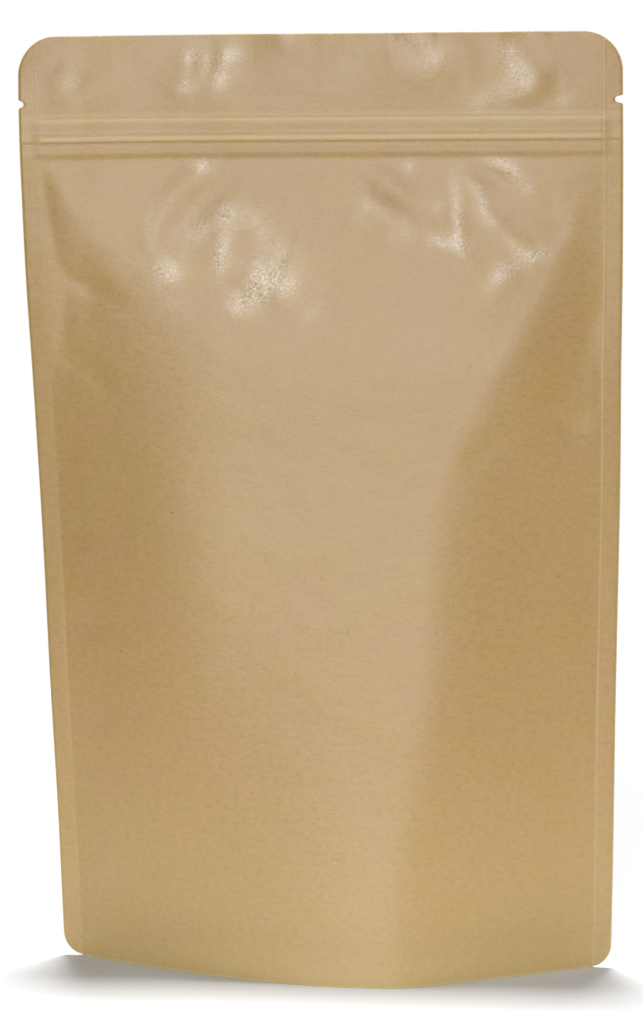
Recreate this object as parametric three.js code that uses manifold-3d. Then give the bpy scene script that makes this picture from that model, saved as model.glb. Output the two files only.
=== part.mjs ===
// Brown paper stand-up pouch, shut and filled, standing on its folded-out base.
// Millimetres, +Z up. The front panel faces -Y and +X is to its right; the origin is
// the middle of the footprint, on the surface that the pouch stands on.
import * as THREE from "three";
import { mergeVertices } from "three/addons/utils/BufferGeometryUtils.js";
import Module from "manifold-3d";

// ---------------------------------------------------------------- driving dimensions

const FRONT = -1;
const BACK = 1;

const FLAT_WIDTH = 180; // laid flat, over both side seals
const HEIGHT = 286.1; // standing, foot rim to mouth
const SIDE_SEAL = 6; // width of each side seal
const SEAL_HALF = 0.3; // half the thickness of the sealed plies
const WALL = 0.7; // skirt wall round the hollow under the base

// How far the filled panels stand away from the plane of the side seals.
const BODY_TOP = HEIGHT - 37; // the panels part below this height
const FRONT_DEPTH = 25.3; // front panel's reach at the foot
const DEPTH_POWER = 1.124; // 1 would be a straight wedge
const BELLY = { middle: 188, height: 0.8, reach: 22 }; // extra swell below the closure

// Near the foot a panel's section is two power curves that meet at a soft upright ridge.
const RIDGE_OFFSET = 0.213; // of the half width, to the right of the middle
const RIDGE_SOFTNESS = 0.1; // of the half width, over which the ridge is rounded
const FOOT_POWERS = { [FRONT]: { left: 1.5, right: 1 }, [BACK]: { left: 1.75, right: 1.75 } };
const RIDGE_FADE = 140; // height where the ridge has faded out

// Higher up it is a crowned plateau with a shoulder to each side. A slope starts at a share
// of the half width, which it reaches some way below the closure, and leans to the seal.
const SHOULDERS = {
  [FRONT]: {
    left: { start: 0.3, below: 62, lean: 1.6 },
    right: { start: 0.36, below: 100, lean: 1.15 },
  },
  [BACK]: {
    left: { start: 0.36, below: 80, lean: 1.3 },
    right: { start: 0.33, below: 90, lean: 1.3 },
  },
};
const SHOULDER_TOP = 0.92; // where a slope starts right at the closure
const CROWN = 0.1; // of the depth, lost from the middle of the plateau to its edge
const OVERRUN = 0.16; // how far past the seal a slope would level out

// Press-to-close strip, felt through both panels as a flat band with a rib.
const ZIP_BAND = { low: 250.3, high: 261.8, rise: 0.3 };
const ZIP_RIB = { low: 254.4, high: 256.9, rise: 0.95 };
const ZIP_STEP = 0.5; // height over which each edge of the band or rib rises

const CORNER_RADIUS = { top: 11.6, foot: 7.5 };
const NOTCH = { below: 20, mouth: 2.6, tip: 1.5 }; // tear notches
const NOTCH_DEPTH = { left: 1.5, right: 2.4 };

// Base: a gusset that lies on the floor in the middle, with its fold held up at both ends.
const SKIRT = 5; // height of the seal along the middle of the foot
const GUSSET = 40; // height of the gusset's fold at the side seals
const GUSSET_END = 0.93; // of the half width, where the hollow under it closes
const GUSSET_PRESSED = 0.42; // of the half width, up to where its fold is pressed down
const GUSSET_RISEN = 0.98; // of the half width, where its fold is fully up
const GUSSET_POWER = 3;
const BELOW_FLOOR = 0.8; // cutting depth under the foot

// The two plies above the zip ripple together, the side seals wave a little, and the left
// side of the pouch bends forward towards the closure.
const RIPPLES = [
  { length: 31, height: 0.35, phase: 0.9 },
  { length: 19, height: 0.2, phase: 2.4 },
];
const SEAL_WAVE = { length: 118, height: 0.9, phase: 0.7, reach: 14 };
const SEAL_CURL = { from: 72, over: 18, back: 1.7 }; // both side seals curl backwards
const TWIST = { from: 40, over: 50, forward: 6.1, low: 115, high: 250, power: 1.7, header: 0.5 };

// Soft folds and dents, as strokes over a panel: a polyline of [x, z], its half width and
// its height, below zero for a valley.
const FRONT_FOLDS = [
  { path: [[-30, 249], [-41, 241], [-50, 229], [-52, 218]], width: 4.5, height: 0.55 },
  { path: [[-22, 246], [-34, 238], [-45, 229]], width: 5, height: -0.6 },
  { path: [[-37, 230], [-29, 236], [-22, 232]], width: 3.5, height: 0.35 },
  { path: [[-27, 234], [-28, 222], [-24, 214]], width: 3, height: 0.4 },
  { path: [[-24, 216], [-12, 211], [-4, 218]], width: 6, height: 0.55 },
  { path: [[-50, 222], [-41, 213]], width: 6, height: 0.4 },
  { path: [[-35, 227], [-34, 216]], width: 5, height: -0.5 },
  { path: [[16, 248], [24, 241], [30, 233]], width: 4.5, height: -0.6 },
  { path: [[10, 240], [22, 231], [32, 226]], width: 5, height: 0.45 },
  { path: [[42, 246], [42, 232], [43, 222], [47, 216]], width: 2.7, height: 0.5 },
  { path: [[33, 224], [41, 223]], width: 2.6, height: 0.3 },
  { path: [[46, 242], [50, 233], [57, 226], [64, 220], [71, 221]], width: 2.9, height: 0.5 },
  { path: [[45, 247], [57, 242]], width: 4, height: -0.5 },
  { path: [[51, 250], [61, 243]], width: 3.5, height: 0.35 },
  { path: [[48, 207], [55, 214], [60, 213]], width: 4, height: 0.35 },
  { path: [[-84, 238], [-71, 222], [-66, 196]], width: 9, height: -1.2 },
  { path: [[-82, 219], [-70, 212], [-58, 205]], width: 3.5, height: -0.5 },
  { path: [[-80, 191], [-71, 185], [-64, 177]], width: 3.5, height: -0.7 },
  { path: [[-79, 140], [-71, 133]], width: 3.5, height: -0.6 },
  { path: [[-79, 111], [-70, 103]], width: 3.5, height: -0.6 },
  { path: [[84, 226], [72, 207], [62, 178]], width: 9, height: -1.2 },
  { path: [[81, 173], [69, 168]], width: 3.5, height: -0.7 },
  { path: [[55, 166], [42, 158]], width: 3.5, height: -0.45 },
];
const BACK_FOLDS = [
  { path: [[-50, 248], [-43, 237], [-40, 222]], width: 4.5, height: 0.55 },
  { path: [[-40, 247], [-32, 238], [-22, 231]], width: 4, height: -0.5 },
  { path: [[-16, 241], [4, 232], [12, 220]], width: 6, height: 0.5 },
  { path: [[24, 248], [20, 238], [27, 229]], width: 4, height: -0.5 },
  { path: [[36, 247], [44, 236], [57, 231]], width: 4, height: 0.5 },
  { path: [[-83, 234], [-72, 214], [-65, 188]], width: 9, height: -1.2 },
  { path: [[83, 240], [73, 221], [67, 199]], width: 9, height: -1.2 },
  { path: [[80, 178], [68, 170]], width: 3.5, height: -0.6 },
  { path: [[-81, 152], [-70, 147]], width: 3.5, height: -0.6 },
];

// Grid of the faceted solid: heights of its rows as [from, to, steps], and its columns.
const ROW_SPANS = [
  [0, 40, 5],
  [40, 160, 10],
  [160, 200, 6],
  [200, BODY_TOP, 11],
];
const HEADER_ROWS = 5;
const PANEL_COLUMNS = 40;
const ARC_STEPS = 160; // samples of a section when its length is measured

const BROWN_PAPER = { color: 0xb99a69, roughness: 0.75, metalness: 0 };

// ---------------------------------------------------------------- small maths

const clamp01 = (v) => Math.min(1, Math.max(0, v));
const lerp = (a, b, f) => a + (b - a) * f;

function smooth(from, to, v) {
  const f = clamp01((v - from) / (to - from));
  return f * f * (3 - 2 * f);
}

// Evenly spaced values from one number to another, both included.
function steps(from, to, count) {
  return Array.from({ length: count + 1 }, (_, i) => lerp(from, to, i / count));
}

// Distance from a point to a polyline in the panel's plane, and how far along it is.
function nearestOnPath(x, z, path) {
  let best = { distance: Infinity, along: 0 };
  for (let i = 0; i + 1 < path.length; i++) {
    const [ax, az] = path[i];
    const [bx, bz] = path[i + 1];
    const length2 = (bx - ax) ** 2 + (bz - az) ** 2;
    const f = clamp01(((x - ax) * (bx - ax) + (z - az) * (bz - az)) / length2);
    const distance = Math.hypot(x - lerp(ax, bx, f), z - lerp(az, bz, f));
    if (distance < best.distance)
      best = { distance, along: (i + f) / (path.length - 1) };
  }
  return best;
}

// ---------------------------------------------------------------- form of the filled body

// Height of a section near the foot, 0 at both seals and 1 at its ridge, for t from -1 to 1.
function ridgedHeight(side, t, peak) {
  const { left, right } = FOOT_POWERS[side];
  const away = t > peak ? (t - peak) / (1 - peak) : (peak - t) / (1 + peak);
  const rounded = (d) => Math.hypot(d, RIDGE_SOFTNESS) - RIDGE_SOFTNESS;
  return 1 - (rounded(away) / rounded(1)) ** (t > peak ? right : left);
}

// Height of a section higher up: its plateau, its shoulders and its slopes.
function shoulderedHeight(side, t, z) {
  const { start, below, lean } = SHOULDERS[side][t > 0 ? "right" : "left"];
  const from = lerp(SHOULDER_TOP, start, smooth(0, below, BODY_TOP - z));
  const end = 1 + OVERRUN * (1 - from);
  const slope = (d) => smooth(0, 1, clamp01((d - from) / (end - from)) ** lean);
  return (1 - CROWN * t * t) * (1 - slope(Math.abs(t)) / slope(1));
}

function sectionHeight(side, t, z) {
  const foot = 1 - smooth(0, RIDGE_FADE, z);
  const peak = side === FRONT ? RIDGE_OFFSET * foot : 0;
  return lerp(shoulderedHeight(side, t, z), ridgedHeight(side, t, peak), foot);
}

function frontDepth(z) {
  const wedge = FRONT_DEPTH * (1 - clamp01(z / BODY_TOP) ** DEPTH_POWER);
  const belly = BELLY.height * Math.exp(-(((z - BELLY.middle) / BELLY.reach) ** 2));
  return wedge + belly * smooth(0, BELLY.reach, BODY_TOP - z);
}

// Length of paper in a section, whose heights run evenly from seal to seal.
function arcLength(halfWidth, depth, heights) {
  const step = (2 * halfWidth) / (heights.length - 1);
  return heights.slice(1).reduce(
    (length, height, i) => length + Math.hypot(step, depth * (height - heights[i])),
    0,
  );
}

// The value between low and high at which a rising function reaches its target.
function solve(rising, target, low, high) {
  for (let i = 0; i < 40; i++) {
    const middle = (low + high) / 2;
    if (rising(middle) < target) low = middle;
    else high = middle;
  }
  return (low + high) / 2;
}

// The paper keeps its width, so the seals draw in where the panels swell. The back panel
// swells just as far as the width that the front panel leaves it allows.
const PANEL = FLAT_WIDTH - 2 * SIDE_SEAL;
const levels = new Map();
function levelAt(z) {
  if (!levels.has(z)) {
    const depth = frontDepth(z);
    const heights = (side) => steps(-1, 1, ARC_STEPS).map((t) => sectionHeight(side, t, z));
    const front = heights(FRONT);
    const back = heights(BACK);
    const half = solve((h) => arcLength(h, depth, front), PANEL, PANEL / 4, PANEL / 2);
    const backDepth = solve((d) => arcLength(half, d, back), PANEL, 0, 2 * FRONT_DEPTH);
    levels.set(z, { half, [FRONT]: depth, [BACK]: depth > 0 ? backDepth : 0 });
  }
  return levels.get(z);
}

// ---------------------------------------------------------------- relief on the panels

function zipRelief(x, z) {
  const band = (edge) =>
    edge.rise *
    smooth(edge.low - ZIP_STEP, edge.low + ZIP_STEP, z) *
    (1 - smooth(edge.high - ZIP_STEP, edge.high + ZIP_STEP, z));
  const insideSeals = 1 - smooth(PANEL / 2 - 2, PANEL / 2 + 3, Math.abs(x));
  return Math.max(band(ZIP_BAND), band(ZIP_RIB)) * insideSeals;
}

function foldRelief(side, x, z) {
  if (z > ZIP_BAND.low) return 0;
  let relief = 0;
  for (const fold of side === FRONT ? FRONT_FOLDS : BACK_FOLDS) {
    const { distance, along } = nearestOnPath(x, z, fold.path);
    const taper = 0.25 + 0.75 * Math.sin(Math.PI * along);
    relief += fold.height * taper * Math.exp(-((distance / fold.width) ** 2));
  }
  return relief * (1 - smooth(ZIP_BAND.low - 6, ZIP_BAND.low, z));
}

// Shift of the seal plane itself: ripples above the zip, a slow wave along the seals, their
// curl and the bend of the left side.
function midPlane(x, z) {
  const wave = (w, at) => w.height * Math.sin((2 * Math.PI * at) / w.length + w.phase);
  const header = smooth(ZIP_BAND.high, HEIGHT, z);
  const ripple = RIPPLES.reduce((sum, w) => sum + wave(w, x), 0) * header;
  const seal = smooth(PANEL / 2 - SEAL_WAVE.reach, PANEL / 2, Math.abs(x));
  const sway = wave(SEAL_WAVE, z + Math.sign(x) * SEAL_WAVE.reach) * seal * (1 - header);
  const beyond = (bend) => Math.max(0, (Math.abs(x) - bend.from) / bend.over) ** 2;
  const curl = SEAL_CURL.back * beyond(SEAL_CURL);
  const risen = clamp01((z - TWIST.low) / (TWIST.high - TWIST.low)) ** TWIST.power;
  const left = x < 0 ? TWIST.forward * beyond(TWIST) : 0;
  const twist = left * risen * (1 - TWIST.header * header);
  return ripple + (sway + curl) * smooth(0, SEAL_WAVE.length / 2, z) - twist;
}

// A point on a panel: t is -1 to 1 between the side seals and runs on over them.
function panelPoint(side, t, z, inset = 0) {
  const level = levelAt(z);
  const inside = Math.abs(t) < 1;
  const overSeal = (Math.abs(t) - 1) * SIDE_SEAL;
  const x = inside ? t * level.half : Math.sign(t) * (level.half + overSeal);
  const swell = inside ? level[side] * sectionHeight(side, t, z) : 0;
  const folds = inside ? foldRelief(side, x, z) * clamp01((swell + 1) / 2) : 0;
  const out = SEAL_HALF + Math.max(0, swell + folds) + zipRelief(x, z) - inset;
  return new THREE.Vector3(x, midPlane(x, z) + side * out, z);
}

// ---------------------------------------------------------------- meshes

// A closed mesh through rings of points, with a ladder of faces across both ends. Seen
// from the last ring, each ring runs anticlockwise.
function loft(rings) {
  const points = rings.flat();
  const size = rings[0].length;
  const index = [];
  const quad = (a, b, c, d) => {
    const short = points[a].distanceTo(points[c]) <= points[b].distanceTo(points[d]);
    index.push(...(short ? [a, b, c, a, c, d] : [a, b, d, b, c, d]));
  };
  for (let r = 0; r + 1 < rings.length; r++)
    for (let i = 0; i < size; i++) {
      const next = (i + 1) % size;
      quad(r * size + i, r * size + next, (r + 1) * size + next, (r + 1) * size + i);
    }
  const last = (rings.length - 1) * size;
  for (let i = 0; i + 1 < size / 2; i++) {
    quad(size - 1 - i, size - 2 - i, i + 1, i);
    quad(last + i, last + i + 1, last + size - 2 - i, last + size - 1 - i);
  }
  return new THREE.BufferGeometry().setFromPoints(points).setIndex(index);
}

function bodyGeometry() {
  const sealColumns = [1, 1.5, 2];
  const across = steps(-1, 1, PANEL_COLUMNS).slice(1, -1);
  const columns = [...sealColumns.map((t) => -t).reverse(), ...across, ...sealColumns];
  const zipEdges = [ZIP_BAND.low, ZIP_RIB.low, ZIP_RIB.high, ZIP_BAND.high];
  const rows = [
    ...ROW_SPANS.flatMap(([from, to, count]) => steps(from, to, count).slice(0, -1)),
    ...zipEdges.flatMap((z) => [z - ZIP_STEP, z + ZIP_STEP]),
    ...steps(ZIP_BAND.high + ZIP_STEP, HEIGHT, HEADER_ROWS).slice(1),
  ];
  return loft(
    rows.map((z) => [
      ...columns.map((t) => panelPoint(FRONT, t, z)),
      ...columns.map((t) => panelPoint(BACK, t, z)).reverse(),
    ]),
  );
}

// Space under the gusset: inside the skirt, up to the gusset, and open at the floor. In
// the middle the gusset is pressed flat, where this dips below the foot and cuts nothing.
function baseHollowGeometry() {
  const across = steps(1, -1, PANEL_COLUMNS).filter((t) => Math.abs(t) <= GUSSET_END);
  const sealHeight = (t) => lerp(SKIRT, GUSSET, Math.abs(t) ** GUSSET_POWER);
  const foldHeight = (t) =>
    lerp(-BELOW_FLOOR, GUSSET, smooth(GUSSET_PRESSED, GUSSET_RISEN, Math.abs(t)));
  const ring = (t) => {
    const seal = sealHeight(t);
    const wall = (side) => [
      panelPoint(side, t, 0, WALL).setZ(-2 * BELOW_FLOOR),
      ...steps(0, seal, 3).map((z) => panelPoint(side, t, z, WALL)),
    ];
    const front = wall(FRONT);
    const back = wall(BACK);
    const roof = [0.15, 0.3, 0.45].flatMap((f) => [f, 1 - f]);
    const membrane = roof
      .sort((a, b) => a - b)
      .map((f) => {
        const point = front.at(-1).clone().lerp(back.at(-1), f);
        return point.setZ(lerp(foldHeight(t), seal, Math.abs(2 * f - 1) ** GUSSET_POWER));
      });
    return [...front, ...membrane, ...back.reverse()];
  };
  return loft(across.map(ring));
}

// A flat shape in the plane of the seals, thick enough to cut through the plies.
function sealCutter(shape, x, z) {
  const thickness = 8;
  const cutter = new THREE.ExtrudeGeometry(shape, {
    depth: thickness,
    bevelEnabled: false,
    curveSegments: 8,
  });
  return cutter.translate(0, 0, -thickness / 2).rotateX(Math.PI / 2).translate(x, 0, z);
}

// What rounding takes off a corner whose point is at the shape's own origin.
function cornerShape(radius, up) {
  const over = 3;
  const shape = new THREE.Shape();
  shape.moveTo(-radius, 0);
  shape.absarc(-radius, -up * radius, radius, (up * Math.PI) / 2, 0, up > 0);
  shape.lineTo(over, -up * radius);
  shape.lineTo(over, up * over);
  shape.lineTo(-radius, up * over);
  shape.closePath();
  return shape;
}

// A tear notch whose mouth is centred on the shape's own origin.
function notchShape(deep) {
  const tip = NOTCH.tip / 2;
  const mouth = NOTCH.mouth / 2;
  const shape = new THREE.Shape();
  shape.moveTo(1, -mouth);
  shape.lineTo(1, mouth);
  shape.lineTo(0, mouth);
  shape.lineTo(tip - deep, tip);
  shape.absarc(tip - deep, 0, tip, Math.PI / 2, (3 * Math.PI) / 2, false);
  shape.lineTo(0, -mouth);
  shape.closePath();
  return shape;
}

// ---------------------------------------------------------------- the pouch

const wasm = await Module();
wasm.setup();

function solidFrom(geometry) {
  const bare = geometry.clone().deleteAttribute("normal").deleteAttribute("uv");
  const merged = mergeVertices(bare);
  return new wasm.Manifold(
    new wasm.Mesh({
      numProp: 3,
      vertProperties: merged.attributes.position.array,
      triVerts: new Uint32Array(merged.index.array),
    }),
  );
}

function geometryFrom(solid) {
  const mesh = solid.getMesh();
  return new THREE.BufferGeometry()
    .setAttribute("position", new THREE.BufferAttribute(mesh.vertProperties, 3))
    .setIndex(new THREE.BufferAttribute(mesh.triVerts, 1));
}

function pouchGeometry() {
  const topCorner = FLAT_WIDTH / 2;
  const footCorner = levelAt(0).half + SIDE_SEAL;
  let pouch = solidFrom(bodyGeometry()).subtract(solidFrom(baseHollowGeometry()));
  for (const [side, deep] of Object.entries(NOTCH_DEPTH)) {
    const cuts = [
      sealCutter(cornerShape(CORNER_RADIUS.top, 1), topCorner, HEIGHT),
      sealCutter(cornerShape(CORNER_RADIUS.foot, -1), footCorner, 0),
      sealCutter(notchShape(deep), topCorner, HEIGHT - NOTCH.below),
    ];
    for (const cut of cuts) {
      if (side === "left") cut.rotateZ(Math.PI);
      pouch = pouch.subtract(solidFrom(cut));
    }
  }
  return geometryFrom(pouch);
}

const geometry = pouchGeometry();
geometry.computeBoundingBox();
const centre = geometry.boundingBox.getCenter(new THREE.Vector3());
geometry.translate(-centre.x, -centre.y, -geometry.boundingBox.min.z);
geometry.computeVertexNormals();

const pouch = new THREE.Mesh(geometry, new THREE.MeshStandardMaterial(BROWN_PAPER));
pouch.name = "pouch";

const group = new THREE.Group();
group.add(pouch);

export default group;
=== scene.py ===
"""Looks of a brown paper stand-up pouch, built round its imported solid.

The pouch is dressed as the real one is made: a front panel, a back panel and a base
gusset, each a thin sheet of paper laminate that starts as a flat grid in its own cutting
size and is then formed over the contents. All form is worked out in millimetres of the
flat pattern and written to the meshes in metres.
"""

import logging
import math
from dataclasses import dataclass, field
from enum import Enum
from typing import Any, Callable, Sequence

import bpy
import numpy as np
from mathutils import Matrix, Vector


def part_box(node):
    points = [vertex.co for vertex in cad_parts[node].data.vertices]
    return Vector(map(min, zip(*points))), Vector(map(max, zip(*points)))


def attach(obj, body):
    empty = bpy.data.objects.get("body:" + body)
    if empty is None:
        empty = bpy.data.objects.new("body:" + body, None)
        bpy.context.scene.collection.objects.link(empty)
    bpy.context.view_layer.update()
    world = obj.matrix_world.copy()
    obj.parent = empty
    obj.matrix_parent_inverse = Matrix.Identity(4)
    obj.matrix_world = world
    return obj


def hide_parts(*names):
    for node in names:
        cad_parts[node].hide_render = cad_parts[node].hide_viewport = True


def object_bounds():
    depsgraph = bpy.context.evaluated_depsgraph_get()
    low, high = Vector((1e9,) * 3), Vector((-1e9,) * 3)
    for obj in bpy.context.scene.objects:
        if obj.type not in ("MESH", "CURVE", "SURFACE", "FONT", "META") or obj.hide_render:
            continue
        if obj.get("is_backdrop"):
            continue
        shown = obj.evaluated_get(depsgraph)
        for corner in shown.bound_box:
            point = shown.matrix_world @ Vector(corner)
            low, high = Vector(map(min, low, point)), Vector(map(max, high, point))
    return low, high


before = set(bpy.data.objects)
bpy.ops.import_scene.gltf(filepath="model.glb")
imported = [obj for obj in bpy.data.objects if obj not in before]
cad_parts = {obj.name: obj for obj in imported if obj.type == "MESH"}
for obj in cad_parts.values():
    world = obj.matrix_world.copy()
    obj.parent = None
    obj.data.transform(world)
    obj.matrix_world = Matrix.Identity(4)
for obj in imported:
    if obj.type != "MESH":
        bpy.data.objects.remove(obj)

MM = 0.001
BODY = "root"
NODE = "pouch"
SOLID_SEAL_HALF = 0.3
PHOTO_WIDTH, PHOTO_HEIGHT = 643, 1024
LOG = logging.getLogger("pouch")

Array = np.ndarray
Point = tuple[float, float]


class Side(Enum):
    """The two faces of the pouch, valued by the way each looks along Y."""

    FRONT = -1
    BACK = 1


def smooth(start: float, end: float, value: Array | float) -> Array:
    """Returns a soft step from 0 at start to 1 at end."""
    share = np.clip((np.asarray(value, float) - start) / (end - start), 0.0, 1.0)
    return share * share * (3.0 - 2.0 * share)


def spread(spans: Sequence[tuple[float, float, float]]) -> Array:
    """Places grid lines through several spans.

    Args:
        spans: (from, to, spacing) of each span, in rising order.

    Returns:
        The places, each span divided evenly at about its spacing.
    """
    places: list[float] = []
    for start, end, spacing in spans:
        count = max(1, round((end - start) / spacing))
        places.extend(np.linspace(start, end, count, endpoint=False))
    return np.array([*places, spans[-1][1]])


# ------------------------------------------------------------------ form of the pouch


@dataclass(frozen=True)
class Stroke:
    """A crease, a dent or a crackled patch, drawn over a panel.

    The stroke stands out along its path by `height`, or sinks where that is negative, and
    dies away over `width` to each side. A sharp stroke has a crest, a soft one is rounded.
    Its ends have a share of its height, `ENDS`, and `REACH` widths off nothing is left.
    """

    ENDS = 0.25
    CREST_FALL = 1.6
    REACH = 4

    path: tuple[Point, ...]
    width: float
    height: float
    sharpness: float = 0.0

    def relief(self, x: Array, z: Array) -> Array:
        """Works out how far the stroke stands out on a panel.

        Args:
            x: Places across the panel, in millimetres.
            z: Heights on the panel, in millimetres.

        Returns:
            Its height at each point.
        """
        nearest = np.full(x.shape, np.inf)
        along = np.zeros(x.shape)
        pieces = len(self.path) - 1
        for index, (start, end) in enumerate(zip(self.path, self.path[1:])):
            run, rise = end[0] - start[0], end[1] - start[1]
            share = ((x - start[0]) * run + (z - start[1]) * rise) / (run**2 + rise**2)
            share = np.clip(share, 0.0, 1.0)
            away = np.hypot(x - start[0] - share * run, z - start[1] - share * rise)
            closer = away < nearest
            nearest = np.where(closer, away, nearest)
            along = np.where(closer, (index + share) / pieces, along)
        taper = self.ENDS + (1 - self.ENDS) * np.sin(math.pi * along)
        rounded = np.exp(-((nearest / self.width) ** 2))
        crested = np.exp(-self.CREST_FALL * nearest / self.width)
        profile = rounded + (crested - rounded) * self.sharpness
        return self.height * taper * profile


@dataclass(frozen=True)
class Crumple:
    """A patch of small chance creases, strewn from a seed.

    Each crease is a short bowed stroke. They lie thickest at the patch's middle and
    their directions spread about one lean. `reach` is where the last ones lie, `CUT`
    standard deviations off the middle.
    """

    CUT = 2
    BOW = 0.3
    WEAKEST = 0.4
    SHARPNESS = 0.8

    middle: Point
    reach: Point
    count: int
    height: float
    width: tuple[float, float]
    length: tuple[float, float]
    lean: float
    spread: float
    seed: int

    def strokes(self) -> list[Stroke]:
        """Strews the patch's creases.

        Returns:
            A stroke for each crease.
        """
        rng = np.random.default_rng(self.seed)
        made = []
        for _ in range(self.count):
            x, z = (
                middle + reach * float(np.clip(rng.normal(), -self.CUT, self.CUT)) / self.CUT
                for middle, reach in zip(self.middle, self.reach)
            )
            angle = math.radians(self.lean + self.spread * rng.uniform(-1, 1))
            half = rng.uniform(*self.length) / 2
            step = (half * math.cos(angle), half * math.sin(angle))
            bow = half * rng.uniform(-self.BOW, self.BOW)
            path = (
                (x - step[0], z - step[1]),
                (x - bow * math.sin(angle), z + bow * math.cos(angle)),
                (x + step[0], z + step[1]),
            )
            height = self.height * rng.uniform(self.WEAKEST, 1.0) * rng.choice([-1.0, 1.0])
            made.append(Stroke(path, rng.uniform(*self.width), height, self.SHARPNESS))
        return made


def over(strokes: Sequence[Stroke], x: Array, z: Array) -> Array:
    """Sums several strokes, each looked up only near its path.

    Args:
        strokes: The strokes.
        x: Places across the panel, in millimetres.
        z: Heights on the panel, in millimetres.

    Returns:
        Their height at each point.
    """
    total = np.zeros(x.shape)
    for stroke in strokes:
        reach = stroke.REACH * stroke.width
        xs, zs = [p[0] for p in stroke.path], [p[1] for p in stroke.path]
        near = (x > min(xs) - reach) & (x < max(xs) + reach)
        near &= (z > min(zs) - reach) & (z < max(zs) + reach)
        if near.any():
            total[near] += stroke.relief(x[near], z[near])
    return total


def soft_strokes(*rows: tuple[float, ...]) -> tuple[Stroke, ...]:
    """Makes soft strokes.

    Args:
        rows: Width, height and then x and z of each point of the path, in millimetres.

    Returns:
        A stroke for each row.
    """
    return tuple(Stroke(tuple(zip(row[2::2], row[3::2])), row[0], row[1]) for row in rows)


MAIN_FOLDS: dict[Side, tuple[Stroke, ...]] = {
    Side.FRONT: soft_strokes(
        (4.5, 0.55, -30, 249, -41, 241, -50, 229, -52, 218),
        (6, -0.45, -24, 245, -34, 238, -45, 229),
        (3.5, 0.25, -37, 230, -29, 236, -22, 232),
        (3, 0.2, -28, 235, -30, 222, -30, 213),
        (6, 0.55, -24, 216, -12, 211, -4, 218),
        (6, 0.4, -50, 222, -41, 213),
        (4.2, -0.6, 14, 248, 22, 240, 29, 234),
        (5, 0.45, 10, 240, 22, 231, 32, 226),
        (2.7, 0.3, 40, 247, 41, 232, 42, 222, 46, 216),
        (2.6, 0.2, 33, 224, 41, 223),
        (2.9, 0.3, 44, 245, 49, 234, 56, 226, 64, 220, 71, 221),
        (3.6, -0.7, 44, 248, 52, 244, 58, 240),
        (3.5, 0.35, 51, 250, 61, 243),
        (4, 0.35, 48, 207, 55, 214, 60, 213),
        (6.5, -1.1, -89, 244, -86, 226, -83, 206, -79, 186),
        (8, -0.6, -76, 222, -68, 200),
        (3.0, -0.45, -80, 216, -70, 211, -60, 206),
        (3.6, -0.6, -80, 191, -71, 186, -63, 179),
        (3.5, -0.6, -79, 140, -71, 133),
        (3.5, -0.6, -79, 111, -70, 103),
        (6, -0.6, 84, 205, 79, 195, 71, 178),
        (3.5, -0.7, 81, 173, 69, 168),
        (3.5, -0.45, 55, 166, 42, 158),
    ),
    Side.BACK: soft_strokes(
        (4.5, 0.55, -50, 248, -43, 237, -40, 222),
        (4, -0.5, -40, 247, -32, 238, -22, 231),
        (6, 0.5, -16, 241, 4, 232, 12, 220),
        (4, -0.5, 24, 248, 20, 238, 27, 229),
        (4, 0.5, 36, 247, 44, 236, 57, 231),
        (9, -1.2, -83, 234, -72, 214, -65, 188),
        (9, -1.2, 83, 240, 73, 221, 67, 199),
        (3.5, -0.6, 80, 178, 68, 170),
        (3.5, -0.6, -81, 152, -70, 147),
    ),
}

# Soft dents of the two plies above the closure, as seen from the front.
HEADER_DENTS = soft_strokes(
    (4.5, 0.5, -38, 286, -39, 276, -43, 266),
    (5.0, 0.35, -25, 287, -31, 273, -33, 265),
    (3.5, -0.4, -32, 285, -35, 270),
    (5, 0.4, -6, 288, -12, 280),
    (6, 0.6, 26, 287, 29, 277, 36, 272),
    (5, -0.5, 44, 286, 43, 264),
    (4.5, 0.6, 57, 284, 64, 272, 57, 263),
    (4, -0.4, 71, 278, 72, 265),
    (7, 0.4, -80, 276, -72, 268),
    (15, -1.9, -60, 290, -28, 291, 2, 290),
    (12, -1.4, 22, 290, 36, 290),
    (12, -1.3, 54, 290, 70, 289),
)

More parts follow.
